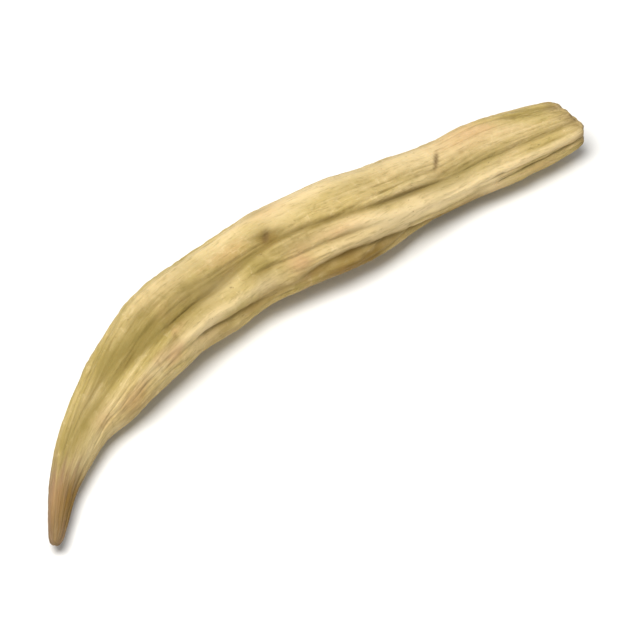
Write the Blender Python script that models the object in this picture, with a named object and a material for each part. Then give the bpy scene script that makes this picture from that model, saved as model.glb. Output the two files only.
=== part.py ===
"""One dried root, grown in one piece: arched, thin at one end, blunt at the other, furrowed lengthwise."""
import math

import bmesh
import bpy

# Lengths along and across are in millimetres here and become metres when the mesh is made
METRES_PER_MM = 0.001

# Stations along the middle line, from the thin tip to the blunt end
# Each holds place along, place across, height of the line, width and depth of the section
STATIONS = (
    (0.0, 0.0, 1.75, 1.4, 1.3),
    (5.2, 3.9, 1.95, 2.9, 2.6),
    (10.8, 6.6, 2.38, 4.65, 4.2),
    (16.2, 7.9, 3.17, 6.95, 6.3),
    (22.1, 8.9, 3.72, 8.2, 7.4),
    (27.9, 9.0, 3.87, 8.55, 7.75),
    (33.6, 8.3, 3.92, 8.4, 7.65),
    (39.0, 6.9, 4.02, 8.8, 7.85),
    (44.2, 5.4, 3.98, 8.55, 7.7),
    (50.0, 4.4, 3.42, 7.1, 6.6),
    (55.4, 3.2, 3.20, 6.9, 6.25),
    (60.6, 1.5, 3.12, 6.75, 6.1),
    (65.8, -0.1, 2.85, 5.1, 4.7),
)

# Long furrows, each from a start to an end along the root
# Angles in degrees run from the inner side of the arch (0) over the top (90) to the outer side (180)
# Each holds half width in degrees, depth as a share of the radius, and a path of places along and angles
FURROWS = (
    (17.0, 0.17, ((8.0, 108.0), (15.0, 104.0), (18.0, 96.0), (21.0, 82.0), (25.0, 72.0), (30.0, 70.0),
                  (38.0, 72.0))),
    (9.0, 0.14, ((15.0, 74.0), (19.0, 68.0), (22.0, 61.0), (26.0, 53.0), (30.0, 56.0), (34.0, 64.0),
                 (39.0, 70.0))),
    (8.5, 0.18, ((32.0, 62.0), (38.0, 70.0), (42.0, 67.0), (46.0, 59.0), (50.0, 50.0), (53.0, 45.0),
                 (56.5, 43.0))),
    (12.0, 0.14, ((47.0, 58.0), (52.0, 46.0), (56.0, 43.0), (61.0, 45.0), (68.0, 48.0), (76.0, 50.0))),
    (6.0, 0.15, ((34.0, 95.0), (37.0, 85.0), (40.5, 75.0))),
    (5.5, 0.09, ((30.0, 52.0), (35.0, 40.0), (38.0, 35.0), (42.0, 36.0), (45.0, 34.0), (49.0, 26.0))),
    (7.5, 0.14, ((21.0, 20.0), (27.0, 10.0), (31.0, 6.0), (35.0, -2.0), (39.0, -6.0))),
    (8.5, 0.15, ((36.0, -4.0), (41.0, 7.0), (45.5, 5.5), (48.0, -2.0), (50.5, -11.0), (54.0, -20.0),
                 (62.0, -28.0))),
    (8.0, 0.10, ((57.0, -2.0), (66.0, 2.0), (76.0, 4.0))),
    (14.0, 0.09, ((36.4, -42.0), (40.2, -39.0), (44.0, -42.0))),
    (8.0, 0.06, ((43.0, 98.0), (48.0, 92.0), (51.0, 80.0), (54.0, 69.0), (58.0, 62.0))),
    (5.0, 0.05, ((20.0, 112.0), (28.0, 107.0), (34.0, 104.0), (41.0, 95.0))),
    (10.0, 0.10, ((4.0, 88.0), (10.0, 84.0), (14.0, 77.0), (19.0, 72.0), (24.0, 70.0))),
    (12.0, 0.08, ((-6.0, 56.0), (4.0, 58.0), (12.0, 58.0))),
    (10.0, 0.12, ((-6.0, 108.0), (8.0, 120.0), (24.0, 134.0))),
    (11.0, 0.05, ((-6.0, 18.0), (6.0, 22.0), (10.0, 24.0))),
    (9.0, 0.15, ((15.0, 158.0), (30.0, 154.0), (54.0, 150.0))),
    (8.0, 0.12, ((49.0, 140.0), (60.0, 134.0), (76.0, 128.0))),
    (11.0, 0.18, ((-6.0, 190.0), (18.0, 184.0), (40.0, 172.0))),
    (9.0, 0.18, ((33.0, 192.0), (50.0, 182.0), (62.0, 172.0), (76.0, 166.0))),
    (8.0, 0.14, ((10.0, 216.0), (24.0, 206.0), (37.0, 203.0))),
    (9.0, 0.17, ((26.0, 234.0), (42.0, 222.0), (58.0, 208.0), (76.0, 200.0))),
    (12.0, 0.15, ((-6.0, 256.0), (14.0, 250.0), (33.0, 238.0))),
    (8.0, 0.14, ((30.0, 268.0), (45.0, 262.0), (60.0, 244.0))),
    (9.0, 0.16, ((16.0, 298.0), (30.0, 292.0), (52.0, 274.0))),
    (10.0, 0.15, ((50.0, 292.0), (62.0, 280.0), (76.0, 272.0))),
    (10.0, 0.17, ((-6.0, 330.0), (12.0, 326.0), (34.0, 314.0))),
    (8.0, 0.16, ((32.0, 322.0), (48.0, 312.0), (64.0, 318.0), (76.0, 312.0))),
)

# Raised crests beside the main furrows, with the same values and a height in place of the depth
CRESTS = (
    (12.0, 0.05, ((8.0, 128.0), (20.0, 118.0), (34.0, 112.0), (50.0, 108.0), (66.0, 104.0))),
    (11.0, 0.07, ((14.0, 44.0), (20.0, 38.0), (26.0, 29.0), (32.0, 29.0), (38.0, 18.0))),
    (11.0, 0.10, ((41.0, 52.0), (46.0, 45.0), (50.0, 29.0), (54.0, 20.0), (60.0, 21.0), (74.0, 26.0))),
    (6.0, 0.04, ((39.0, 26.0), (44.0, 25.0), (49.0, 20.0))),
    (13.0, 0.04, ((44.0, 84.0), (58.0, 82.0), (72.0, 80.0))),
)

FURROW_FADE = 7.0
FURROW_SHARPNESS = 1.4

# Broad uneven roundness of the section
# Each holds number of lobes, share of the radius, turn in degrees per millimetre, angle of the first lobe
LOBES = (
    (2, 0.030, 1.1, 20.0),
    (3, 0.030, -1.6, 75.0),
    (5, 0.014, 1.3, 140.0),
)

# Slow swelling and narrowing along the root: share of the radius, wave length
SWELLS = (
    (0.008, 17.0),
    (0.008, 7.3),
)

# The root touches the ground at three low places: start, end, and how far the line drops there
LOW_PLACES = (
    (12.0, 19.0, 0.36),
    (26.0, 36.0, 0.38),
    (52.0, 61.0, 0.30),
)

# Points round each section, and number of sections between the closing rings
SIDES = 64
RINGS = 76

# Closing rings of the ends: share of the last section and how far each lies beyond it
TIP_CLOSING = (
    (0.86, 0.30),
    (0.62, 0.55),
    (0.32, 0.68),
)
TIP_POINT = 0.72
END_CLOSING = (
    (0.93, 0.42),
    (0.78, 0.66),
    (0.56, 0.60),
    (0.30, 0.46),
)
END_POINT = 0.40

# The blunt end is a rough break: its lean, and how far its rim rises and falls, over its last part
END_LEAN = 0.26
END_UNEVENNESS = 0.24
END_UNEVEN_COUNT = 3
END_LENGTH = 6.0

ROOT_COLOUR = (0.70, 0.60, 0.38, 1.0)
ROOT_ROUGHNESS = 0.62


def eased(value):
    """Smooth step from 0 to 1, held at both ends."""
    clipped = min(max(value, 0.0), 1.0)
    return clipped * clipped * (3.0 - 2.0 * clipped)


def between(start, end, along, fade):
    """Share of a feature that runs from start to end and fades over its first and last part."""
    rise = min(fade, (end - start) / 2.0)
    return eased((along - start) / rise) * eased((end - along) / rise)


def station_at(place):
    """Values of the stations at a fractional station number, on a smooth curve through all of them."""
    last = len(STATIONS) - 1
    index = min(int(place), last - 1)
    part = place - index
    before = STATIONS[max(index - 1, 0)]
    first = STATIONS[index]
    second = STATIONS[index + 1]
    after = STATIONS[min(index + 2, last)]
    values = []
    for column in range(len(first)):
        slope_first = (second[column] - before[column]) / 2.0
        slope_second = (after[column] - first[column]) / 2.0
        change = second[column] - first[column]
        cubic = slope_first + slope_second - 2.0 * change
        square = 3.0 * change - 2.0 * slope_first - slope_second
        values.append(((cubic * part + square) * part + slope_first) * part + first[column])
    return values


def turned_apart(angle, centre):
    """Difference of two angles in degrees, from -180 to 180."""
    return (angle - centre + 180.0) % 360.0 - 180.0


def path_angle(along, path):
    """Angle that a furrow's path has at a place along the root."""
    for (behind, angle_behind), (ahead, angle_ahead) in zip(path, path[1:]):
        if along <= ahead:
            return angle_behind + (angle_ahead - angle_behind) * (along - behind) / (ahead - behind)
    return path[-1][1]


def relief(along, angle, line):
    """Share of the radius that one long furrow or crest takes at a place on the surface."""
    half_width, amount, path = line
    start = path[0][0]
    end = path[-1][0]
    if along <= start or along >= end:
        return 0.0
    away = turned_apart(angle, path_angle(along, path)) / half_width
    return amount * between(start, end, along, FURROW_FADE) * math.exp(-abs(away) ** FURROW_SHARPNESS)


def radius_share(along, angle):
    """Radius at a place on the surface, as a share of the plain oval section."""
    share = 1.0
    for count, amount, turn, first_angle in LOBES:
        share += amount * math.cos(math.radians(count * (angle - first_angle) + turn * along))
    for amount, length in SWELLS:
        share += amount * math.sin(along * math.tau / length)
    for furrow in FURROWS:
        share -= relief(along, angle, furrow)
    for crest in CRESTS:
        share += relief(along, angle, crest)
    return share


def drop_at(along):
    """How far the middle line drops at the low places."""
    return sum(drop * between(start, end, along, (end - start) / 2.0) for start, end, drop in LOW_PLACES)


def middle_line():
    """Rings of the root: place of each section's middle, its two half sizes and the direction of growth."""
    last = len(STATIONS) - 1
    rows = [station_at(last * ring / (RINGS - 1)) for ring in range(RINGS)]
    rings = []
    along = 0.0
    for number, row in enumerate(rows):
        if number > 0:
            along += math.dist(row[:3], rows[number - 1][:3])
        ahead = rows[min(number + 1, RINGS - 1)]
        behind = rows[max(number - 1, 0)]
        run = math.hypot(ahead[0] - behind[0], ahead[1] - behind[1])
        heading = ((ahead[0] - behind[0]) / run, (ahead[1] - behind[1]) / run)
        height = row[2] - drop_at(along)
        rings.append((along, (row[0], row[1], height), row[3] / 2.0, row[4] / 2.0, heading))
    return rings


def ring_points(ring, size, beyond, broken):
    """Points of one section, scaled by size and moved beyond its place along the direction of growth."""
    along, middle, half_width, half_depth, heading = ring
    points = []
    for side in range(SIDES):
        angle = 360.0 * side / SIDES
        share = size * radius_share(along, angle)
        across = share * half_width * math.cos(math.radians(angle))
        upward = share * half_depth * math.sin(math.radians(angle))
        rim = size * END_UNEVENNESS * math.sin(math.radians(END_UNEVEN_COUNT * angle))
        forward = beyond + broken * (END_LEAN * across + rim)
        x = middle[0] + heading[0] * forward + heading[1] * across
        y = middle[1] + heading[1] * forward - heading[0] * across
        points.append((x, y, max(middle[2] + upward, 0.0)))
    return points


def centre_point(ring, beyond):
    """Point that closes an end, on the middle line beyond its last section."""
    middle = ring[1]
    heading = ring[4]
    return (middle[0] + heading[0] * beyond, middle[1] + heading[1] * beyond, middle[2])


def all_loops():
    """All rings of points in order from the tip to the blunt end, and the two closing points."""
    rings = middle_line()
    loops = [ring_points(rings[0], size, -beyond, 0.0) for size, beyond in reversed(TIP_CLOSING)]
    for ring in rings:
        broken = eased((ring[0] - rings[-1][0]) / END_LENGTH + 1.0)
        loops.append(ring_points(ring, 1.0, 0.0, broken))
    loops += [ring_points(rings[-1], size, beyond, 1.0) for size, beyond in END_CLOSING]
    return loops, centre_point(rings[0], -TIP_POINT), centre_point(rings[-1], END_POINT)


def centred(loops, tip, end):
    """The same points in metres, with the origin at the middle of the base of their bounding box."""
    everything = [point for loop in loops for point in loop] + [tip, end]
    middle_x = (min(point[0] for point in everything) + max(point[0] for point in everything)) / 2.0
    middle_y = (min(point[1] for point in everything) + max(point[1] for point in everything)) / 2.0
    lowest = min(point[2] for point in everything)

    def placed(point):
        moved = (point[0] - middle_x, point[1] - middle_y, point[2] - lowest)
        return tuple(value * METRES_PER_MM for value in moved)

    return [[placed(point) for point in loop] for loop in loops], placed(tip), placed(end)


def root_mesh():
    """Closed mesh of the root."""
    loops, tip, end = centred(*all_loops())
    shape = bmesh.new()
    rows = [[shape.verts.new(point) for point in loop] for loop in loops]
    tip_vertex = shape.verts.new(tip)
    end_vertex = shape.verts.new(end)
    for side in range(SIDES):
        after = (side + 1) % SIDES
        for behind, ahead in zip(rows, rows[1:]):
            shape.faces.new((behind[side], behind[after], ahead[after], ahead[side]))
        shape.faces.new((tip_vertex, rows[0][after], rows[0][side]))
        shape.faces.new((end_vertex, rows[-1][side], rows[-1][after]))
    bmesh.ops.recalc_face_normals(shape, faces=shape.faces)
    for face in shape.faces:
        face.smooth = True
    mesh = bpy.data.meshes.new("root")
    shape.to_mesh(mesh)
    shape.free()
    return mesh


def root_material():
    """Dry pale cream surface."""
    material = bpy.data.materials.new("root")
    material.use_nodes = True
    shader = material.node_tree.nodes["Principled BSDF"]
    shader.inputs["Base Color"].default_value = ROOT_COLOUR
    shader.inputs["Roughness"].default_value = ROOT_ROUGHNESS
    return material


def main():
    """Clears the scene and adds the root."""
    for existing in list(bpy.data.objects):
        bpy.data.objects.remove(existing)
    mesh = root_mesh()
    mesh.materials.append(root_material())
    bpy.context.scene.collection.objects.link(bpy.data.objects.new("root", mesh))


main()
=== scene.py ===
"""One dried root with its fine wrinkles and its dry cream finish, and a plain studio around it."""
import math

import bpy
import numpy as np
from bpy.props import FloatProperty, FloatVectorProperty, IntProperty, PointerProperty
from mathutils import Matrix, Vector, noise


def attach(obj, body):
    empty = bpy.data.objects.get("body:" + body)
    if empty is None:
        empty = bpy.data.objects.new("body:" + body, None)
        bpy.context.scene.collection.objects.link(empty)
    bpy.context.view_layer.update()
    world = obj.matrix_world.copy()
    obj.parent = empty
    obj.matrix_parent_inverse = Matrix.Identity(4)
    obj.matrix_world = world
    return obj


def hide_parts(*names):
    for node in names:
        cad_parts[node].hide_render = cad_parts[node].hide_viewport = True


bl_info = {
    "name": "Dried root",
    "version": (1, 0, 0),
    "blender": (4, 5, 0),
    "location": "3D View > Sidebar > Dried root",
    "description": "Grows one wrinkled dried root over its solid and sets it in a plain studio",
    "category": "Add Mesh",
}

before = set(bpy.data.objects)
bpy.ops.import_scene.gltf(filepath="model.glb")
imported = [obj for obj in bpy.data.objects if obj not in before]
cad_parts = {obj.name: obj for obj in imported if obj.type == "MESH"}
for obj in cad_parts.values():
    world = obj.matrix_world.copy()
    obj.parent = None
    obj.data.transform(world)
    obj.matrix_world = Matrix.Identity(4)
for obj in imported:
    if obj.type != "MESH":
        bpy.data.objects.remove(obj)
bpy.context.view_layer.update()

# The form of the solid, in millimetres and degrees, repeated from the part so that the skin keeps it
METRES_PER_MM = 0.001
TIP_PLACE = (-32.996, -5.165)

# Stations of the middle line: place along, place across, height, width and depth of the section
STATIONS = (
    (0.0, 0.0, 1.75, 1.4, 1.3),
    (5.2, 3.9, 1.95, 2.9, 2.6),
    (10.8, 6.6, 2.38, 4.65, 4.2),
    (16.2, 7.9, 3.17, 6.95, 6.3),
    (22.1, 8.9, 3.72, 8.2, 7.4),
    (27.9, 9.0, 3.87, 8.55, 7.75),
    (33.6, 8.3, 3.92, 8.4, 7.65),
    (39.0, 6.9, 4.02, 8.8, 7.85),
    (44.2, 5.4, 3.98, 8.55, 7.7),
    (50.0, 4.4, 3.42, 7.1, 6.6),
    (55.4, 3.2, 3.20, 6.9, 6.25),
    (60.6, 1.5, 3.12, 6.75, 6.1),
    (65.8, -0.1, 2.85, 5.1, 4.7),
)
ALONG, ACROSS, HEIGHT, WIDTH, DEPTH = range(5)

# Furrows: half width in degrees, depth as a share of the radius, path of places along and angles
FURROWS = (
    (17.0, 0.17, ((8.0, 108.0), (15.0, 104.0), (18.0, 96.0), (21.0, 82.0), (25.0, 72.0), (30.0, 70.0),
                  (38.0, 72.0))),
    (9.0, 0.14, ((15.0, 74.0), (19.0, 68.0), (22.0, 61.0), (26.0, 53.0), (30.0, 56.0), (34.0, 64.0),
                 (39.0, 70.0))),
    (8.5, 0.18, ((32.0, 62.0), (38.0, 70.0), (42.0, 67.0), (46.0, 59.0), (50.0, 50.0), (53.0, 45.0),
                 (56.5, 43.0))),
    (12.0, 0.14, ((47.0, 58.0), (52.0, 46.0), (56.0, 43.0), (61.0, 45.0), (68.0, 48.0), (76.0, 50.0))),
    (6.0, 0.15, ((34.0, 95.0), (37.0, 85.0), (40.5, 75.0))),
    (5.5, 0.09, ((30.0, 52.0), (35.0, 40.0), (38.0, 35.0), (42.0, 36.0), (45.0, 34.0), (49.0, 26.0))),
    (7.5, 0.14, ((21.0, 20.0), (27.0, 10.0), (31.0, 6.0), (35.0, -2.0), (39.0, -6.0))),
    (8.5, 0.15, ((36.0, -4.0), (41.0, 7.0), (45.5, 5.5), (48.0, -2.0), (50.5, -11.0), (54.0, -20.0),
                 (62.0, -28.0))),
    (8.0, 0.10, ((57.0, -2.0), (66.0, 2.0), (76.0, 4.0))),
    (14.0, 0.09, ((36.4, -42.0), (40.2, -39.0), (44.0, -42.0))),
    (8.0, 0.06, ((43.0, 98.0), (48.0, 92.0), (51.0, 80.0), (54.0, 69.0), (58.0, 62.0))),
    (5.0, 0.05, ((20.0, 112.0), (28.0, 107.0), (34.0, 104.0), (41.0, 95.0))),
    (10.0, 0.10, ((4.0, 88.0), (10.0, 84.0), (14.0, 77.0), (19.0, 72.0), (24.0, 70.0))),
    (12.0, 0.08, ((-6.0, 56.0), (4.0, 58.0), (12.0, 58.0))),
    (10.0, 0.12, ((-6.0, 108.0), (8.0, 120.0), (24.0, 134.0))),
    (11.0, 0.05, ((-6.0, 18.0), (6.0, 22.0), (10.0, 24.0))),
    (9.0, 0.15, ((15.0, 158.0), (30.0, 154.0), (54.0, 150.0))),
    (8.0, 0.12, ((49.0, 140.0), (60.0, 134.0), (76.0, 128.0))),
    (11.0, 0.18, ((-6.0, 190.0), (18.0, 184.0), (40.0, 172.0))),
    (9.0, 0.18, ((33.0, 192.0), (50.0, 182.0), (62.0, 172.0), (76.0, 166.0))),
    (8.0, 0.14, ((10.0, 216.0), (24.0, 206.0), (37.0, 203.0))),
    (9.0, 0.17, ((26.0, 234.0), (42.0, 222.0), (58.0, 208.0), (76.0, 200.0))),
    (12.0, 0.15, ((-6.0, 256.0), (14.0, 250.0), (33.0, 238.0))),
    (8.0, 0.14, ((30.0, 268.0), (45.0, 262.0), (60.0, 244.0))),
    (9.0, 0.16, ((16.0, 298.0), (30.0, 292.0), (52.0, 274.0))),
    (10.0, 0.15, ((50.0, 292.0), (62.0, 280.0), (76.0, 272.0))),
    (10.0, 0.17, ((-6.0, 330.0), (12.0, 326.0), (34.0, 314.0))),
    (8.0, 0.16, ((32.0, 322.0), (48.0, 312.0), (64.0, 318.0), (76.0, 312.0))),
)

# Crests: the same values with a height in place of the depth
CRESTS = (
    (12.0, 0.05, ((8.0, 128.0), (20.0, 118.0), (34.0, 112.0), (50.0, 108.0), (66.0, 104.0))),
    (11.0, 0.07, ((14.0, 44.0), (20.0, 38.0), (26.0, 29.0), (32.0, 29.0), (38.0, 18.0))),
    (11.0, 0.10, ((41.0, 52.0), (46.0, 45.0), (50.0, 29.0), (54.0, 20.0), (60.0, 21.0), (74.0, 26.0))),
    (6.0, 0.04, ((39.0, 26.0), (44.0, 25.0), (49.0, 20.0))),
    (13.0, 0.04, ((44.0, 84.0), (58.0, 82.0), (72.0, 80.0))),
)
FURROW_FADE = 7.0
FURROW_SHARPNESS = 1.4

# Uneven roundness: number of lobes, share of the radius, turn in degrees per millimetre, first angle
LOBES = (
    (2, 0.030, 1.1, 20.0),
    (3, 0.030, -1.6, 75.0),
    (5, 0.014, 1.3, 140.0),
)

# Swelling along the root: share of the radius, wave length
SWELLS = (
    (0.008, 17.0),
    (0.008, 7.3),
)

# Low places that touch the ground: start, end, drop of the middle line
LOW_PLACES = (
    (12.0, 19.0, 0.36),
    (26.0, 36.0, 0.38),
    (52.0, 61.0, 0.30),
)

# Closing sections: share of the last section and distance beyond it
TIP_CLOSING = (
    (0.86, 0.30),
    (0.62, 0.55),
    (0.32, 0.68),
)
END_CLOSING = (
    (0.93, 0.42),
    (0.78, 0.66),
    (0.56, 0.60),
    (0.30, 0.46),
    (0.12, 0.41),
)

# Broken end: lean, height and number of the waves of its rim, and the length over which they start
END_LEAN = 0.26
END_UNEVENNESS = 0.24
END_UNEVEN_COUNT = 3
END_LENGTH = 6.0

# Face of the broken end: distance over which it starts, reach forward and width of its splinters, and
# their place in the noise
FACE_START = 0.3
SPLINTERS = (
    (0.26, 0.95),
    (0.15, 0.36),
)
SPLINTER_LEVEL = 3.0

# Small scars in the skin: place along, angle, thickness, reach across, depth, slant, darkness
SCARS = (
    (55.8, 80.0, 0.27, 0.80, 0.09, 0.70, 0.85),
    (37.4, 81.0, 0.40, 0.60, 0.10, 0.45, 0.70),
    (33.5, 118.0, 0.70, 0.20, 0.06, 0.0, 0.25),
    (48.5, 160.0, 0.80, 0.36, 0.14, 0.3, 0.60),
    (26.0, 200.0, 0.45, 0.60, 0.12, -0.3, 0.60),
    (38.0, 300.0, 0.70, 0.40, 0.14, 0.2, 0.60),
    (61.0, 14.0, 0.60, 0.22, 0.06, 0.1, 0.35),
)
SCAR_SHARPNESS = 3

# Patches of another colour, some of them painted light or shade: place along, angle, half length, half
# width, strength
PEACH_PATCHES = (
    (39.3, 31.0, 1.3, 1.1, 0.9),
    (22.4, 24.0, 1.3, 0.8, 0.8),
    (16.8, 30.0, 1.8, 1.0, 0.6),
    (20.8, 36.0, 1.0, 0.9, 0.4),
    (39.0, 112.0, 2.2, 0.8, 0.35),
    (43.5, 46.0, 2.2, 0.5, 0.45),
    (59.5, 98.0, 2.6, 1.4, 0.50),
    (13.0, 46.0, 1.5, 0.9, 0.45),
    (4.0, 112.0, 2.4, 0.8, 0.60),
    (46.0, 220.0, 3.0, 1.6, 0.5),
    (24.0, 262.0, 2.4, 1.4, 0.5),
)
# Pale patches, partly paler skin and partly painted light on ridges and on shaded furrow walls
PALE_AND_PAINTED_LIGHT_PATCHES = (
    (51.0, 29.0, 5.0, 1.1, 0.90),
    (56.5, 19.0, 5.5, 1.4, 1.00),
    (46.5, 45.0, 3.2, 0.7, 0.75),
    (44.0, 29.0, 4.0, 0.5, 0.40),
    (9.5, 34.0, 3.2, 1.3, 0.70),
    (12.0, 8.0, 2.0, 1.0, 0.35),
    (14.0, -8.0, 2.0, 1.0, 0.45),
    (27.5, 30.0, 4.5, 0.7, 0.45),
    (20.4, 25.0, 1.8, 0.8, 0.50),
    (26.8, 17.0, 2.4, 1.0, 0.95),
    (34.8, 24.0, 1.9, 1.0, 0.85),
    (51.8, 19.0, 3.6, 1.3, 1.00),
    (39.5, 98.0, 2.0, 1.4, 0.65),
    (14.6, 98.0, 1.6, 0.8, 0.50),
    (30.8, 57.0, 2.4, 1.0, 0.90),
    (51.5, 52.0, 3.0, 0.9, 0.75),
    (59.6, -1.0, 2.6, 1.8, 0.95),
    (33.0, 111.0, 7.0, 1.2, 0.65),
    (41.5, 114.0, 6.0, 1.3, 0.80),
    (46.5, 118.0, 3.5, 1.2, 0.60),
    (54.0, 100.0, 3.0, 1.0, 0.60),
    (36.0, 97.0, 2.0, 0.7, 0.40),
    (14.0, 50.0, 4.0, 0.7, 0.35),
    (30.0, 250.0, 8.0, 1.4, 0.60),
    (52.0, 230.0, 7.0, 1.2, 0.60),
)
# Olive patches, partly greenish skin and partly painted shade in and beside the grooves
OLIVE_AND_SHADE_PATCHES = (
    (11.4, 80.0, 1.4, 0.85, 1.00),
    (10.4, 88.0, 2.8, 1.8, 0.85),
    (13.4, 79.0, 3.2, 1.0, 0.80),
    (19.6, 97.0, 2.0, 1.2, 0.90),
    (17.0, 117.0, 1.6, 0.9, 0.60),
    (38.0, 117.0, 1.6, 0.6, 0.45),
    (35.2, 45.0, 1.5, 1.3, 0.90),
    (37.2, 84.0, 1.5, 1.3, 0.50),
    (37.0, 34.0, 1.4, 0.7, 0.45),
    (41.0, 37.0, 4.6, 0.6, 0.40),
    (27.5, 44.0, 3.6, 0.6, 0.45),
    (57.0, 39.0, 4.0, 0.8, 0.65),
    (17.8, 104.0, 2.2, 1.7, 1.00),
    (21.5, 86.0, 3.2, 2.0, 0.90),
    (22.0, 64.0, 2.4, 1.2, 0.90),
    (26.5, 60.0, 3.4, 0.9, 0.60),
    (27.5, 84.0, 4.5, 1.5, 0.55),
    (36.5, 71.0, 3.4, 0.9, 0.75),
    (38.8, 79.0, 1.4, 0.8, 0.45),
    (38.0, 56.0, 3.0, 1.0, 0.35),
    (29.5, 106.0, 2.6, 0.8, 0.35),
    (52.5, 73.0, 2.6, 0.7, 0.35),
    (47.5, 96.0, 3.6, 1.0, 0.25),
    (58.0, 48.0, 4.0, 1.3, 0.75),
    (36.0, 52.0, 2.4, 0.8, 0.30),
    (31.0, 190.0, 4.0, 1.8, 0.35),
    (50.0, 285.0, 4.0, 1.6, 0.35),
)
# Brown patches, partly brownish skin and partly painted shade on the lower flank, under the tip and in the
# grooves
BROWN_AND_SHADE_PATCHES = (
    (3.6, 2.0, 3.2, 1.6, 1.00),
    (40.6, 4.0, 3.0, 1.0, 0.80),
    (16.4, 10.0, 2.2, 1.1, 0.40),
    (10.5, -14.0, 3.2, 0.9, 0.35),
    (29.0, -6.0, 2.2, 1.2, 0.45),
    (3.0, 62.0, 3.4, 1.3, 0.65),
    (37.5, 77.0, 1.0, 0.8, 0.55),
    (44.4, -14.0, 5.2, 1.8, 0.88),
    (34.5, 0.0, 3.4, 1.1, 0.60),
    (44.2, 4.0, 2.2, 1.1, 0.85),
    (43.8, 36.5, 1.8, 0.32, 0.40),
    (35.6, 39.0, 1.6, 0.35, 0.35),
    (56.5, -20.0, 5.0, 1.2, 0.80),
    (28.5, 8.0, 3.6, 0.9, 0.35),
    (66.0, 250.0, 2.5, 1.5, 0.40),
)

PATCHES = {
    "pale": PALE_AND_PAINTED_LIGHT_PATCHES,
    "peach": PEACH_PATCHES,
    "olive": OLIVE_AND_SHADE_PATCHES,
    "brown": BROWN_AND_SHADE_PATCHES,
}
PATCH_SHARPNESS = 2.2
PATCH_RAGGEDNESS = 0.45

# Radius on which the skin's grain is laid out, so that it keeps one width all round
GRAIN_RADIUS = 4.0

# How soon the wrinkles get shallower where the root is thinner than that: 1 is in step with its width
THINNING = 0.55

# Noise over the skin: size along the root, size round it, shift of the pattern
LUMPS = (5.0, 2.2, 71.0)
KNOBS = (1.7, 1.0, 13.0)
RAGGED_EDGES = (2.2, 0.9, 47.0)
TIP_STREAKS = (3.2, 0.8, 5.0)
WANDERING = (
    (9.0, 9.0, 31.0),
    (9.0, 9.0, -17.0),
)
WANDERING_REACH = 0.5

# Thin lines in the skin: length, width, shift of the pattern, thickness of the drawn line
WRINKLE_LINES = (12.0, 1.05, 8.0, 0.14)
CREASE_LINES = (3.6, 0.42, 23.0, 0.19)
RIPPLE_LINES = (0.95, 3.4, 3.0, 0.20)

# Where the thin lines come and go: length and width as shares of a line's, middle and range
FADE_LENGTH = 0.8
FADE_WIDTH = 3.0
FADE_MIDDLE = 0.55
FADE_RANGE = 1.3

# Share of the wrinkles that is missing in the pale patches
PALE_CALM = 0.75

# How strongly each kind of thin line is darkened with painted shade in the colour
WRINKLE_SHADE = 0.75
CREASE_SHADE = 0.45
RIPPLE_SHADE = 0.25

# Shares of the radius at which a furrow has its full olive tint and painted shade, and a crest its full
# painted highlight
FULL_HOLLOW_SHADE = 0.20
FULL_CREST_HIGHLIGHT = 0.07

# Where colours that change along the root start and how far they fade
YOUNG_START = 8.0
YOUNG_FADE = 26.0
TIP_START = 4.4
TIP_FADE = 6.2
TIP_RAGGEDNESS = 2.6
RIM_BEFORE_END = 0.9
RIM_FADE = 1.2

# Core of the broken end, as shares of its size
CORE_SIZE = 0.12
CORE_FADE = 0.22

# Noise in the finish: scale along the root and round it, detail, roughness, distortion
CLOUDS = {
    "patches": (0.10, 0.22, 3.0, 0.55, 0.4),
    "blush": (0.14, 0.36, 3.0, 0.6, 0.6),
    "streaks": (0.09, 1.7, 6.0, 0.62, 0.25),
    "fibres": (0.70, 4.2, 5.0, 0.66, 0.2),
    "specks": (1.6, 3.4, 2.0, 0.5, 0.0),
    "mottle": (1.0, 1.0, 5.0, 0.74, 0.5),
}

# Colours over the cream, lowest first: what brings a colour out, its values where the colour starts and
# is full (none where it is taken as it is), the share that is covered there, and the colour's name
COLOUR_LAYERS = (
    ("patches", (0.38, 0.66), 1.0, "straw"),
    ("blush", (0.56, 0.74), 0.55, "peach"),
    ("young", None, 0.42, "khaki"),
    ("mottle", (0.51, 0.76), 0.55, "olive_light"),
    ("mottle", (0.47, 0.27), 0.55, "pale"),
    # Crests lightened with pale cream: painted highlight
    ("crest", (0.1, 1.0), 0.55, "pale"),
    # Pale patches: partly paler skin, partly painted light
    ("pale", None, 0.85, "pale"),
    ("tip", None, 1.0, "tip_tan"),
    ("streaks", (0.52, 0.76), 0.30, "olive"),
    ("streaks", (0.47, 0.28), 0.35, "pale"),
    ("fibres", (0.51, 0.72), 0.42, "olive"),
    ("fibres", (0.46, 0.28), 0.36, "pale"),
    # Furrows darkened with olive: partly their own tint, partly painted shade
    ("hollow", (0.25, 1.0), 0.75, "olive"),
    # Thin lines darkened with olive: painted shade in the wrinkles
    ("wrinkle", (0.3, 1.0), 0.5, "olive"),
    ("specks", (0.70, 0.80), 0.5, "brown"),
    ("peach", None, 0.8, "peach"),
    # Olive patches: partly greenish skin, partly painted shade
    ("olive", None, 0.85, "olive_light"),
    # Brown patches in tan: partly brownish skin, partly painted shade on the lower flank
    ("brown", None, 0.92, "tan"),
    ("scar", None, 1.0, "brown"),
)

# Remapped noise: from, to, value at from, value at to
TIP_BLUSH = (0.25, 0.6, 0.7, 0.95)
RIM_FIBRES = (0.3, 0.65, 0.25, 0.6)
CRUMB_SHARE = (0.34, 0.68, 0.0, 1.0)
SPECK_PITS = (0.68, 0.8, 0.0, 0.4)
DULL_STREAKS = (0.3, 0.7)
DULLNESS_CHANGE = (-0.06, 0.16)

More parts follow.
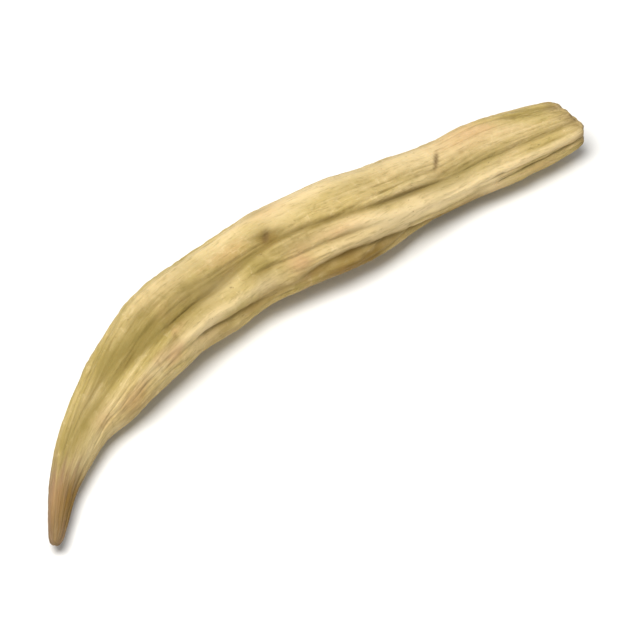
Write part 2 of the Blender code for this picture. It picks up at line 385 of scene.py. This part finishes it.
# Crumbs on the face of the broken end: scale, detail, roughness
CRUMBS = (1900.0, 4.0, 0.62)
FACE_COVER = 0.85
CORE_COVER = 0.45

# Finest bumps of the grain: height of the fibres and of the streaks, strength and depth of all
FIBRE_HEIGHT = 0.9
STREAK_HEIGHT = 0.7
BUMP_STRENGTH = 0.70
BUMP_DEPTH = 0.00015

# Settings that are the same all over the skin
SKIN_SETTINGS = {
    "Specular IOR Level": 0.14,
    "Subsurface Weight": 0.10,
    "Subsurface Radius": (1.0, 0.62, 0.3),
    "Subsurface Scale": 0.0008,
}

# Studio: floor, lamps and backdrop
FLOOR_SIZE = 6.0
FLOOR_SETTINGS = {
    "Roughness": 0.9,
    "Specular IOR Level": 0.1,
}
BACKDROP_STRENGTH = 0.28
CLIP_START = 0.01

# Lamps: share to the right, up and towards the camera, distance, width, colour
KEY_LAMP = ((-0.25, 0.52, 1.0), 0.55, 0.34, (1.0, 0.985, 0.96))
FILL_LAMP = ((0.5, -0.1, 1.0), 0.60, 0.50, (0.97, 0.985, 1.0))


class DriedRootShape(bpy.types.PropertyGroup):
    """Sizes of the skin that is laid over the solid."""

    sides: IntProperty(
        name="Sides",
        description="Points round each section before the skin is refined",
        default=30,
        min=12,
    )
    sections: IntProperty(
        name="Sections",
        description="Sections between the two ends before the skin is refined",
        default=38,
        min=12,
    )
    refinement: IntProperty(
        name="Refinement",
        description="Times that each face is divided in four",
        default=3,
        min=1,
        max=3,
    )
    wrinkle_depth: FloatProperty(
        name="Wrinkle depth",
        description="Depth of the narrow wrinkles between the furrows",
        default=0.00019,
        subtype="DISTANCE",
        unit="LENGTH",
    )
    crease_depth: FloatProperty(
        name="Crease depth",
        description="Depth of the finest creases",
        default=0.00008,
        subtype="DISTANCE",
        unit="LENGTH",
    )
    ripple_depth: FloatProperty(
        name="Ripple depth",
        description="Depth of the short wrinkles that run across the ridges",
        default=0.00006,
        subtype="DISTANCE",
        unit="LENGTH",
    )
    knob_height: FloatProperty(
        name="Knob height",
        description="Height of the small knobs of the skin",
        default=0.00006,
        subtype="DISTANCE",
        unit="LENGTH",
    )
    lump_height: FloatProperty(
        name="Lump height",
        description="Height of the soft unevenness of the skin",
        default=0.00014,
        subtype="DISTANCE",
        unit="LENGTH",
    )


class DriedRootFinish(bpy.types.PropertyGroup):
    """Colours and surface of the skin."""

    cream: FloatVectorProperty(
        name="Cream",
        description="Main colour of the ridges",
        default=(0.585, 0.440, 0.205),
        subtype="COLOR",
        size=3,
    )
    # Pale cream of the pale grain and patches, also used as painted highlight on the crests
    pale: FloatVectorProperty(
        name="Pale",
        description="Pale cream of the highest ridges",
        default=(0.790, 0.625, 0.345),
        subtype="COLOR",
        size=3,
    )
    straw: FloatVectorProperty(
        name="Straw",
        description="Yellower colour of broad patches",
        default=(0.480, 0.365, 0.122),
        subtype="COLOR",
        size=3,
    )
    peach: FloatVectorProperty(
        name="Peach",
        description="Pinkish colour of small patches",
        default=(0.560, 0.340, 0.165),
        subtype="COLOR",
        size=3,
    )
    # Olive of the grain and the furrows; in the furrows and wrinkles it is also painted shade
    olive: FloatVectorProperty(
        name="Olive",
        description="Colour of the furrows",
        default=(0.200, 0.140, 0.036),
        subtype="COLOR",
        size=3,
    )
    khaki: FloatVectorProperty(
        name="Khaki",
        description="Duller colour of the thinner half",
        default=(0.385, 0.300, 0.105),
        subtype="COLOR",
        size=3,
    )
    # Light olive of the mottle and of the olive patches, which are partly painted shade
    olive_light: FloatVectorProperty(
        name="Light olive",
        description="Colour of broad greenish patches",
        default=(0.262, 0.196, 0.050),
        subtype="COLOR",
        size=3,
    )
    tip_tan: FloatVectorProperty(
        name="Tip tan",
        description="Pinkish tan of the thin tip",
        default=(0.222, 0.139, 0.086),
        subtype="COLOR",
        size=3,
    )
    # Tan of the brown patches, painted shade on the flank and under the tip, and of the broken end's core
    tan: FloatVectorProperty(
        name="Tan",
        description="Colour of brownish patches, of the flank and the tip",
        default=(0.192, 0.108, 0.014),
        subtype="COLOR",
        size=3,
    )
    brown: FloatVectorProperty(
        name="Brown",
        description="Colour of the scars and of the broken end",
        default=(0.15, 0.09, 0.035),
        subtype="COLOR",
        size=3,
    )
    roughness: FloatProperty(
        name="Roughness",
        description="How dull the skin is on its ridges",
        default=0.56,
        subtype="FACTOR",
        min=0.0,
        max=1.0,
    )


class StudioSettings(bpy.types.PropertyGroup):
    """Floor, lamps and camera."""

    azimuth: FloatProperty(
        name="Azimuth",
        description="Turn of the camera round the root",
        default=math.radians(-47.3),
        subtype="ANGLE",
        unit="ROTATION",
    )
    elevation: FloatProperty(
        name="Elevation",
        description="Angle of the camera above the floor",
        default=math.radians(48.0),
        subtype="ANGLE",
        unit="ROTATION",
    )
    distance: FloatProperty(
        name="Distance",
        description="Distance from the camera to the root",
        default=0.90,
        subtype="DISTANCE",
        unit="LENGTH",
    )
    lens: FloatProperty(
        name="Lens",
        description="Focal length of the camera in millimetres",
        default=570.0,
    )
    floor_colour: FloatVectorProperty(
        name="Floor colour",
        description="Colour of the plain floor",
        default=(0.86, 0.86, 0.85),
        subtype="COLOR",
        size=3,
    )
    key_power: FloatProperty(
        name="Key power",
        description="Strength of the main soft lamp",
        default=4.1,
        subtype="POWER",
        unit="POWER",
    )
    fill_power: FloatProperty(
        name="Fill power",
        description="Strength of the weak lamp opposite",
        default=0.3,
        subtype="POWER",
        unit="POWER",
    )


def eased(value):
    """Smooth step from 0 to 1 of numbers or arrays, held at both ends."""
    clipped = np.clip(value, 0.0, 1.0)
    return clipped * clipped * (3.0 - 2.0 * clipped)


def between(start, end, along, fade):
    """Share of a feature that runs from start to end and fades over its first and last part."""
    rise = min(fade, (end - start) / 2.0)
    return eased((along - start) / rise) * eased((end - along) / rise)


def line_values(samples):
    """Length along the middle line and the stations' values, on a smooth curve through all stations."""
    last = len(STATIONS) - 1
    table = np.array(STATIONS)
    place = np.linspace(0.0, last, samples)
    index = np.minimum(place.astype(int), last - 1)
    part = (place - index)[:, None]
    before = table[np.maximum(index - 1, 0)]
    first = table[index]
    second = table[index + 1]
    after = table[np.minimum(index + 2, last)]
    slope_first = (second - before) / 2.0
    slope_second = (after - first) / 2.0
    change = second - first
    cubic = slope_first + slope_second - 2.0 * change
    square = 3.0 * change - 2.0 * slope_first - slope_second
    values = ((cubic * part + square) * part + slope_first) * part + first
    steps = np.linalg.norm(np.diff(values[:, :3], axis=0), axis=1)
    return np.concatenate(([0.0], np.cumsum(steps))), values


LINE_SAMPLES = 601
LINE_ALONG, LINE_VALUES = line_values(LINE_SAMPLES)
ROOT_LENGTH = float(LINE_ALONG[-1])


def on_line(along, column):
    """Value of one column of the middle line at places along it."""
    return np.interp(along, LINE_ALONG, LINE_VALUES[:, column])


def half_sizes(along):
    """Half width and half depth of the plain section."""
    return on_line(along, WIDTH) / 2.0, on_line(along, DEPTH) / 2.0


def relief(along, angle, line):
    """Share of the radius that one furrow or crest takes."""
    half_width, amount, path = line
    centre = np.interp(along, [place for place, turn in path], [turn for place, turn in path])
    away = np.abs((angle - centre + 180.0) % 360.0 - 180.0) / half_width
    length = between(path[0][0], path[-1][0], along, FURROW_FADE)
    return amount * length * np.exp(-(away ** FURROW_SHARPNESS))


def unevenness(along, angle):
    """Lobes and swells of the plain section, as a share of the radius."""
    share = np.zeros_like(along)
    for count, amount, turn, first_angle in LOBES:
        share += amount * np.cos(np.radians(count * (angle - first_angle) + turn * along))
    for amount, length in SWELLS:
        share += amount * np.sin(along * math.tau / length)
    return share


def furrowing(along, angle):
    """Furrows and crests together, below and above zero, as a share of the radius."""
    share = np.zeros_like(along)
    for furrow in FURROWS:
        share -= relief(along, angle, furrow)
    for crest in CRESTS:
        share += relief(along, angle, crest)
    return share


def noise_over(places):
    """Smooth noise from -1 to 1 at each place."""
    return np.array([noise.noise(place) for place in places.tolist()])


def grain_places(along, angle):
    """Places on the straightened skin, in millimetres: along the root and on a circle of one radius."""
    turn = np.radians(angle)
    return np.stack((along, GRAIN_RADIUS * np.cos(turn), GRAIN_RADIUS * np.sin(turn)), axis=1)


def skin_noise(places, sizes):
    """Noise from -1 to 1 with one size along the root, another round it, and a shift of the pattern."""
    length, width, shift = sizes
    return noise_over(places / np.array((length, width, width)) + shift)


def thin_lines(places, lines):
    """Thin lines from 0 to 1 that come and go, along the root or, where wider than long, across it."""
    length, width, shift, thickness = lines
    drawn = np.exp(-((skin_noise(places, (length, width, shift)) / thickness) ** 2))
    fading = skin_noise(places, (length * FADE_LENGTH, width * FADE_WIDTH, -shift))
    return drawn * eased(FADE_MIDDLE + FADE_RANGE * fading)


def across_skin(angle, turn, half_width):
    """Distance in millimetres round the skin from an angle."""
    return np.radians((angle - turn + 180.0) % 360.0 - 180.0) * half_width


def patched(patches, places, along, angle, half_width):
    """Share from 0 to 1 of a colour that lies in soft, ragged patches."""
    ragged = PATCH_RAGGEDNESS * skin_noise(places, RAGGED_EDGES)
    share = np.zeros_like(along)
    for place, turn, half_length, width, strength in patches:
        away = np.hypot((along - place) / half_length, across_skin(angle, turn, half_width) / width)
        patch = np.exp(-(np.maximum(away + ragged, 0.0) ** PATCH_SHARPNESS))
        share = np.maximum(share, strength * patch)
    return share


def straight_sections(shape):
    """Place, half width and half depth of the straight root's sections, from end to end."""
    wall = np.linspace(0.0, ROOT_LENGTH, shape.sections)
    widths, depths = half_sizes(wall)
    sections = [(-beyond, size * widths[0], size * depths[0]) for size, beyond in reversed(TIP_CLOSING)]
    sections += list(zip(wall, widths, depths))
    for size, beyond in END_CLOSING:
        sections.append((ROOT_LENGTH + beyond, size * widths[-1], size * depths[-1]))
    return [tuple(float(value) * METRES_PER_MM for value in section) for section in sections]


def grown_straight(shape):
    """Plain straight root along +X: a circle drawn out section by section, then refined."""
    sections = straight_sections(shape)
    place, half_width, half_depth = sections[0]
    bpy.ops.object.select_all(action="DESELECT")
    bpy.ops.mesh.primitive_circle_add(
        vertices=shape.sides,
        radius=half_width,
        fill_type="NGON",
        location=(place, 0.0, 0.0),
        rotation=(0.0, math.pi / 2.0, 0.0),
    )
    root = bpy.context.object
    root.name = "root_skin"
    bpy.ops.object.transform_apply(location=True, rotation=True, scale=True)
    bpy.ops.object.mode_set(mode="EDIT")
    bpy.ops.transform.resize(value=(1.0, 1.0, half_depth / half_width), center_override=(place, 0.0, 0.0))
    for behind, ahead in zip(sections, sections[1:]):
        step = (ahead[0] - behind[0], 0.0, 0.0)
        growth = (1.0, ahead[1] / behind[1], ahead[2] / behind[2])
        bpy.ops.mesh.extrude_region_move(TRANSFORM_OT_translate={"value": step})
        bpy.ops.transform.resize(value=growth, center_override=(ahead[0], 0.0, 0.0))
    bpy.ops.mesh.select_all(action="SELECT")
    bpy.ops.mesh.normals_make_consistent(inside=False)
    bpy.ops.object.mode_set(mode="OBJECT")
    smoother = root.modifiers.new("Refine", "SUBSURF")
    smoother.levels = shape.refinement
    smoother.render_levels = shape.refinement
    bpy.ops.object.modifier_apply(modifier=smoother.name)
    return root


def wandered(places):
    """Places moved a little sideways, so that lines drawn over them waver."""
    moved = places.copy()
    sideways = [skin_noise(places, sizes) for sizes in WANDERING]
    moved[:, 1:] += WANDERING_REACH * np.stack(sideways, axis=1)
    return moved


def fine_relief(shape, places, wandering, calm, whole):
    """Painted shade along the thin lines from 0 to 1, and the depth of all fine relief in metres."""
    wrinkles = thin_lines(wandering, WRINKLE_LINES) * calm
    fine = thin_lines(wandering, CREASE_LINES) * calm
    ripples = thin_lines(wandering, RIPPLE_LINES) * whole
    depth = shape.wrinkle_depth * wrinkles + shape.crease_depth * fine + shape.ripple_depth * ripples
    depth = depth - shape.lump_height * skin_noise(places, LUMPS)
    depth = depth - shape.knob_height * skin_noise(wandering, KNOBS)
    # Painted shade along the thin lines
    line_shade = WRINKLE_SHADE * wrinkles + CREASE_SHADE * fine + RIPPLE_SHADE * ripples
    return np.clip(line_shade, 0.0, 1.0), depth


def scarred(along, angle, half_width):
    """Darkness of the scars from 0 to 1 and their depth in millimetres."""
    darkened = np.zeros_like(along)
    depths = np.zeros_like(along)
    for place, turn, length, width, depth, slant, darkness in SCARS:
        across = across_skin(angle, turn, half_width)
        away = np.hypot((along - place - slant * across) / length, across / width)
        hole = np.exp(-(away ** SCAR_SHARPNESS))
        darkened = np.maximum(darkened, darkness * hole)
        depths += depth * hole
    return darkened, depths


def broken_reach(along, angle, size, across, upward, face):
    """How far forward the broken end leans, waves and splinters, in millimetres."""
    broken = eased((along - ROOT_LENGTH) / END_LENGTH + 1.0)
    rim = END_UNEVENNESS * size * np.sin(np.radians(END_UNEVEN_COUNT * angle))
    level = np.full_like(along, SPLINTER_LEVEL)
    splinters = sum(
        reach * noise_over(np.stack((level, across / width, upward / width), axis=1))
        for reach, width in SPLINTERS
    )
    return broken * (END_LEAN * across + rim) + face * splinters


def carved(straight, shape):
    """Straight places with furrows, wrinkles and pits, and what the finish needs to know about each."""
    x, y, z = straight.T
    along = np.clip(x, 0.0, ROOT_LENGTH)
    half_width, half_depth = half_sizes(along)
    angle = np.degrees(np.arctan2(z / half_depth, -y / half_width)) % 360.0
    size = np.minimum(np.hypot(y / half_width, z / half_depth), 1.0)
    places = grain_places(along, angle)
    wandering = wandered(places)
    face = np.clip((x - ROOT_LENGTH) / FACE_START, 0.0, 1.0)
    colours = {
        name: patched(patches, wandering, along, angle, half_width)
        for name, patches in PATCHES.items()
    }
    calm = (1.0 - PALE_CALM * colours["pale"]) * (1.0 - face)
    wrinkle, fine_depth = fine_relief(shape, places, wandering, calm, 1.0 - face)
    scar, scar_depth = scarred(along, angle, half_width)
    thinned = np.minimum(half_width / GRAIN_RADIUS, 1.0) ** THINNING
    fine_depth = fine_depth / METRES_PER_MM * thinned + scar_depth
    main = furrowing(along, angle)
    share = 1.0 + unevenness(along, angle) + main - fine_depth / half_width
    across = -y * share
    upward = z * share
    forward = x + broken_reach(along, angle, size, across, upward, face)
    tip_border = x + TIP_RAGGEDNESS * skin_noise(places, TIP_STREAKS)
    facts = {
        "grain": places,
        # Furrow depth that carries the olive tint and painted shade of the furrows
        "hollow": np.clip(-main / FULL_HOLLOW_SHADE, 0.0, 1.0),
        # Crest height that carries the painted highlight of the crests
        "crest": np.clip(main / FULL_CREST_HIGHLIGHT, 0.0, 1.0),
        "wrinkle": wrinkle,
        "young": 1.0 - eased((along - YOUNG_START) / YOUNG_FADE),
        "scar": scar,
        "tip": 1.0 - eased((tip_border - TIP_START) / TIP_FADE),
        "break": np.clip((x - ROOT_LENGTH + RIM_BEFORE_END) / RIM_FADE, 0.0, 1.0),
        "face": face,
        "core": face * (1.0 - eased((size - CORE_SIZE) / CORE_FADE)),
        **colours,
    }
    return np.stack((forward, across, upward), axis=1), facts


def arched(carved_places):
    """Places of the carved straight root laid along the arched middle line, in metres."""
    forward, across, upward = carved_places.T
    along = np.clip(forward, 0.0, ROOT_LENGTH)
    beyond = forward - along
    spread = ROOT_LENGTH / LINE_SAMPLES
    ahead = np.minimum(along + spread, ROOT_LENGTH)
    behind = np.maximum(along - spread, 0.0)
    run_x = on_line(ahead, ALONG) - on_line(behind, ALONG)
    run_y = on_line(ahead, ACROSS) - on_line(behind, ACROSS)
    run = np.hypot(run_x, run_y)
    heading_x = run_x / run
    heading_y = run_y / run
    drop = sum(depth * between(start, end, along, (end - start) / 2.0) for start, end, depth in LOW_PLACES)
    x = TIP_PLACE[0] + on_line(along, ALONG) + heading_x * beyond + heading_y * across
    y = TIP_PLACE[1] + on_line(along, ACROSS) + heading_y * beyond - heading_x * across
    z = np.maximum(on_line(along, HEIGHT) - drop + upward, 0.0)
    return np.stack((x, y, z), axis=1) * METRES_PER_MM


def keep_facts(mesh, facts):
    """Stores on every point what the finish reads."""
    for name, values in facts.items():
        if values.ndim == 2:
            attribute = mesh.attributes.new(name, "FLOAT_VECTOR", "POINT")
            attribute.data.foreach_set("vector", values.astype(np.float32).ravel())
        else:
            attribute = mesh.attributes.new(name, "FLOAT", "POINT")
            attribute.data.foreach_set("value", values.astype(np.float32))


class Nodes:
    """Short names for building a node tree from left to right."""

    def __init__(self, material):
        material.use_nodes = True
        self.tree = material.node_tree
        self.shader = self.tree.nodes["Principled BSDF"]

    def link(self, source, target):
        """Joins an output to an input."""
        self.tree.links.new(source, target)

    def set_all(self, settings):
        """Sets constants on the shader's own sockets."""
        for name, value in settings.items():
            self.shader.inputs[name].default_value = value

    def read(self, name, vector=False):
        """Value or vector that the mesh holds under a name."""
        node = self.tree.nodes.new("ShaderNodeAttribute")
        node.attribute_name = name
        return node.outputs["Vector" if vector else "Fac"]

    def stretched(self, source, along, around):
        """Place scaled differently along the grain and round the root."""
        node = self.tree.nodes.new("ShaderNodeMapping")
        node.inputs["Scale"].default_value = (along, around, around)
        self.link(source, node.inputs["Vector"])
        return node.outputs["Vector"]

    def cloud(self, source, scale, detail, roughness, distortion=0.0):
        """Noise between 0 and 1."""
        node = self.tree.nodes.new("ShaderNodeTexNoise")
        node.inputs["Scale"].default_value = scale
        node.inputs["Detail"].default_value = detail
        node.inputs["Roughness"].default_value = roughness
        node.inputs["Distortion"].default_value = distortion
        self.link(source, node.inputs["Vector"])
        return node.outputs["Fac"]

    def span(self, source, low, high, to_low=0.0, to_high=1.0):
        """Smoothly remapped value."""
        node = self.tree.nodes.new("ShaderNodeMapRange")
        node.interpolation_type = "SMOOTHSTEP"
        node.inputs["From Min"].default_value = low
        node.inputs["From Max"].default_value = high
        node.inputs["To Min"].default_value = to_low
        node.inputs["To Max"].default_value = to_high
        self.link(source, node.inputs["Value"])
        return node.outputs["Result"]

    def maths(self, operation, first, second):
        """Sum, product or other operation on two values or numbers."""
        node = self.tree.nodes.new("ShaderNodeMath")
        node.operation = operation
        for place, value in enumerate((first, second)):
            if isinstance(value, float):
                node.inputs[place].default_value = value
            else:
                self.link(value, node.inputs[place])
        return node.outputs["Value"]

    def mixed(self, share, first, second):
        """Two colours mixed by a share."""
        node = self.tree.nodes.new("ShaderNodeMix")
        node.data_type = "RGBA"
        self.link(share, node.inputs["Factor"])
        for name, value in (("A", first), ("B", second)):
            socket = next(s for s in node.inputs if s.name == name and s.type == "RGBA")
            if isinstance(value, tuple):
                socket.default_value = value
            else:
                self.link(value, socket)
        return next(s for s in node.outputs if s.type == "RGBA")


def opaque(colour):
    """Colour with full cover."""
    return (colour[0], colour[1], colour[2], 1.0)


def skin_colour(nodes, finish, clouds):
    """Cream under patches, streaks along the grain, olive furrows with painted shade, pale crests with
    painted highlight and brown pits.
    """
    blushing = nodes.span(clouds["blush"], *TIP_BLUSH)
    drivers = {**clouds, "tip": nodes.maths("MULTIPLY", nodes.read("tip"), blushing)}
    colour = opaque(finish.cream)
    for driver, reach, cover, name in COLOUR_LAYERS:
        share = drivers[driver] if driver in drivers else nodes.read(driver)
        if reach:
            share = nodes.span(share, *reach, 0.0, cover)
        else:
            share = nodes.maths("MULTIPLY", share, cover)
        colour = nodes.mixed(share, colour, opaque(getattr(finish, name)))
    return colour


def end_colour(nodes, finish, fibres, colour):
    """The skin's colour with the crumbly face, brown rim and tan core of the broken end."""
    place = nodes.tree.nodes.new("ShaderNodeTexCoord").outputs["Object"]
    crumbs = nodes.span(nodes.cloud(place, *CRUMBS), *CRUMB_SHARE)
    broken = nodes.mixed(crumbs, opaque(finish.brown), opaque(finish.cream))
    face = nodes.read("face")
    colour = nodes.mixed(nodes.maths("MULTIPLY", face, FACE_COVER), colour, broken)
    rim = nodes.maths("MULTIPLY", nodes.read("break"), nodes.span(fibres, *RIM_FIBRES))
    rim = nodes.maths("MULTIPLY", rim, nodes.maths("SUBTRACT", 1.0, face))
    colour = nodes.mixed(rim, colour, opaque(finish.brown))
    core = nodes.maths("MULTIPLY", nodes.read("core"), CORE_COVER)
    return nodes.mixed(core, colour, opaque(finish.tan))


def grain_bumps(nodes, clouds):
    """Finest bumps of the grain, with a small pit at each speck."""
    fibres = nodes.maths("MULTIPLY", clouds["fibres"], FIBRE_HEIGHT)
    streaks = nodes.maths("MULTIPLY", clouds["streaks"], STREAK_HEIGHT)
    height = nodes.maths("ADD", fibres, streaks)
    height = nodes.maths("SUBTRACT", height, nodes.span(clouds["specks"], *SPECK_PITS))
    bump = nodes.tree.nodes.new("ShaderNodeBump")
    bump.inputs["Strength"].default_value = BUMP_STRENGTH
    bump.inputs["Distance"].default_value = BUMP_DEPTH
    nodes.link(height, bump.inputs["Height"])
    return bump.outputs["Normal"]


def skin_finish(finish):
    """Dry cream skin with its colours, dull gloss and finest bumps."""
    material = bpy.data.materials.new("dry_root_skin")
    nodes = Nodes(material)
    grain = nodes.read("grain", vector=True)
    clouds = {
        name: nodes.cloud(nodes.stretched(grain, along, around), 1.0, *texture)
        for name, (along, around, *texture) in CLOUDS.items()
    }
    colour = end_colour(nodes, finish, clouds["fibres"], skin_colour(nodes, finish, clouds))
    dullest = [finish.roughness + change for change in DULLNESS_CHANGE]
    nodes.link(colour, nodes.shader.inputs["Base Color"])
    nodes.link(nodes.span(clouds["streaks"], *DULL_STREAKS, *dullest), nodes.shader.inputs["Roughness"])
    nodes.link(grain_bumps(nodes, clouds), nodes.shader.inputs["Normal"])
    nodes.set_all(SKIN_SETTINGS)
    return material


class ROOT_OT_grow(bpy.types.Operator):
    """Grow the root's wrinkled skin over its solid"""

    bl_idname = "object.dried_root_grow"
    bl_label = "Grow the root"
    bl_options = {"REGISTER", "UNDO"}

    def execute(self, context):
        shape = context.scene.dried_root_shape
        root = grown_straight(shape)
        mesh = root.data
        straight = np.empty(len(mesh.vertices) * 3, dtype=np.float32)
        mesh.vertices.foreach_get("co", straight)
        straight = straight.astype(float).reshape(-1, 3) / METRES_PER_MM
        carved_places, facts = carved(straight, shape)
        mesh.vertices.foreach_set("co", arched(carved_places).astype(np.float32).ravel())
        mesh.update()
        keep_facts(mesh, facts)
        bpy.ops.object.shade_smooth()
        mesh.materials.clear()
        mesh.materials.append(skin_finish(context.scene.dried_root_finish))
        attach(root, "root")
        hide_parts("root")
        return {"FINISHED"}


def add_floor(settings):
    """Large plain pale floor under the root."""
    bpy.ops.object.select_all(action="DESELECT")
    bpy.ops.mesh.primitive_plane_add(size=FLOOR_SIZE, location=(0.0, 0.0, 0.0))
    floor = bpy.context.object
    floor.name = "floor"
    material = bpy.data.materials.new("pale_floor")
    Nodes(material).set_all({"Base Color": opaque(settings.floor_colour), **FLOOR_SETTINGS})
    floor.data.materials.append(material)


def add_lamp(name, kind, power, aim, axes):
    """Soft square lamp that shines on the aim from its own direction."""
    shares, distance, width, colour = kind
    away, right, up = axes
    toward = right * shares[0] + up * shares[1] + away * shares[2]
    lamp = bpy.data.lights.new(name, "AREA")
    lamp.size = width
    lamp.energy = power
    lamp.color = colour
    holder = bpy.data.objects.new(name, lamp)
    holder.location = aim + toward.normalized() * distance
    holder.rotation_euler = toward.to_track_quat("Z", "Y").to_euler()
    bpy.context.scene.collection.objects.link(holder)


def seen_middle(root, right, up):
    """Middle of the root as it is seen across these two directions."""
    places = np.empty(len(root.data.vertices) * 3, dtype=np.float32)
    root.data.vertices.foreach_get("co", places)
    places = places.reshape(-1, 3)
    middle = (places.min(axis=0) + places.max(axis=0)) / 2.0
    for axis in (np.array(right), np.array(up)):
        spread = places @ axis
        middle = middle + axis * ((spread.min() + spread.max()) / 2.0 - middle @ axis)
    return Vector(middle.tolist())


def view_axes(settings):
    """Directions towards the camera, to its right and up in its view."""
    azimuth = settings.azimuth
    elevation = settings.elevation
    away = Vector((
        math.sin(azimuth) * math.cos(elevation),
        -math.cos(azimuth) * math.cos(elevation),
        math.sin(elevation),
    ))
    right = Vector((math.cos(azimuth), math.sin(azimuth), 0.0))
    return away, right, away.cross(right)


def add_camera(settings, aim, away):
    """Camera at the photograph's angle."""
    camera = bpy.data.cameras.new("camera")
    camera.lens = settings.lens
    camera.clip_start = CLIP_START
    holder = bpy.data.objects.new("camera", camera)
    holder.location = aim + away * settings.distance
    holder.rotation_euler = away.to_track_quat("Z", "Y").to_euler()
    bpy.context.scene.collection.objects.link(holder)
    bpy.context.scene.camera = holder


class STUDIO_OT_set(bpy.types.Operator):
    """Add the floor, the lamps and the camera"""

    bl_idname = "object.dried_root_studio"
    bl_label = "Set the studio"
    bl_options = {"REGISTER", "UNDO"}

    def execute(self, context):
        settings = context.scene.dried_root_studio
        add_floor(settings)
        axes = view_axes(settings)
        away, right, up = axes
        aim = seen_middle(bpy.data.objects["root_skin"], right, up)
        add_camera(settings, aim, away)
        add_lamp("key", KEY_LAMP, settings.key_power, aim, axes)
        add_lamp("fill", FILL_LAMP, settings.fill_power, aim, axes)
        world = bpy.data.worlds.new("studio")
        world.use_nodes = True
        backdrop = world.node_tree.nodes["Background"]
        backdrop.inputs["Color"].default_value = (1.0, 1.0, 1.0, 1.0)
        backdrop.inputs["Strength"].default_value = BACKDROP_STRENGTH
        context.scene.world = world
        context.scene.view_settings.view_transform = "Standard"
        return {"FINISHED"}


class VIEW3D_PT_dried_root(bpy.types.Panel):
    """Steps that make the root and its studio."""

    bl_label = "Dried root"
    bl_idname = "VIEW3D_PT_dried_root"
    bl_space_type = "VIEW_3D"
    bl_region_type = "UI"
    bl_category = "Dried root"

    def draw(self, context):
        scene = context.scene
        for groups, operator in (
            ((scene.dried_root_shape, scene.dried_root_finish), ROOT_OT_grow.bl_idname),
            ((scene.dried_root_studio,), STUDIO_OT_set.bl_idname),
        ):
            box = self.layout.box()
            for group in groups:
                for name in group.__annotations__:
                    box.prop(group, name)
            box.operator(operator)


CLASSES = (
    DriedRootShape,
    DriedRootFinish,
    StudioSettings,
    ROOT_OT_grow,
    STUDIO_OT_set,
    VIEW3D_PT_dried_root,
)


def register():
    """Registers the classes and their settings."""
    for each in CLASSES:
        bpy.utils.register_class(each)
    bpy.types.Scene.dried_root_shape = PointerProperty(type=DriedRootShape)
    bpy.types.Scene.dried_root_finish = PointerProperty(type=DriedRootFinish)
    bpy.types.Scene.dried_root_studio = PointerProperty(type=StudioSettings)


def unregister():
    """Removes the classes and their settings."""
    del bpy.types.Scene.dried_root_studio
    del bpy.types.Scene.dried_root_finish
    del bpy.types.Scene.dried_root_shape
    for each in reversed(CLASSES):
        bpy.utils.unregister_class(each)


def write_sizes():
    """Updates the view layer."""
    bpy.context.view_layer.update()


def main():
    """Makes the root and the studio, and updates the view layer."""
    register()
    bpy.ops.object.dried_root_grow()
    bpy.ops.object.dried_root_studio()
    write_sizes()


if __name__ == "__main__":
    main()
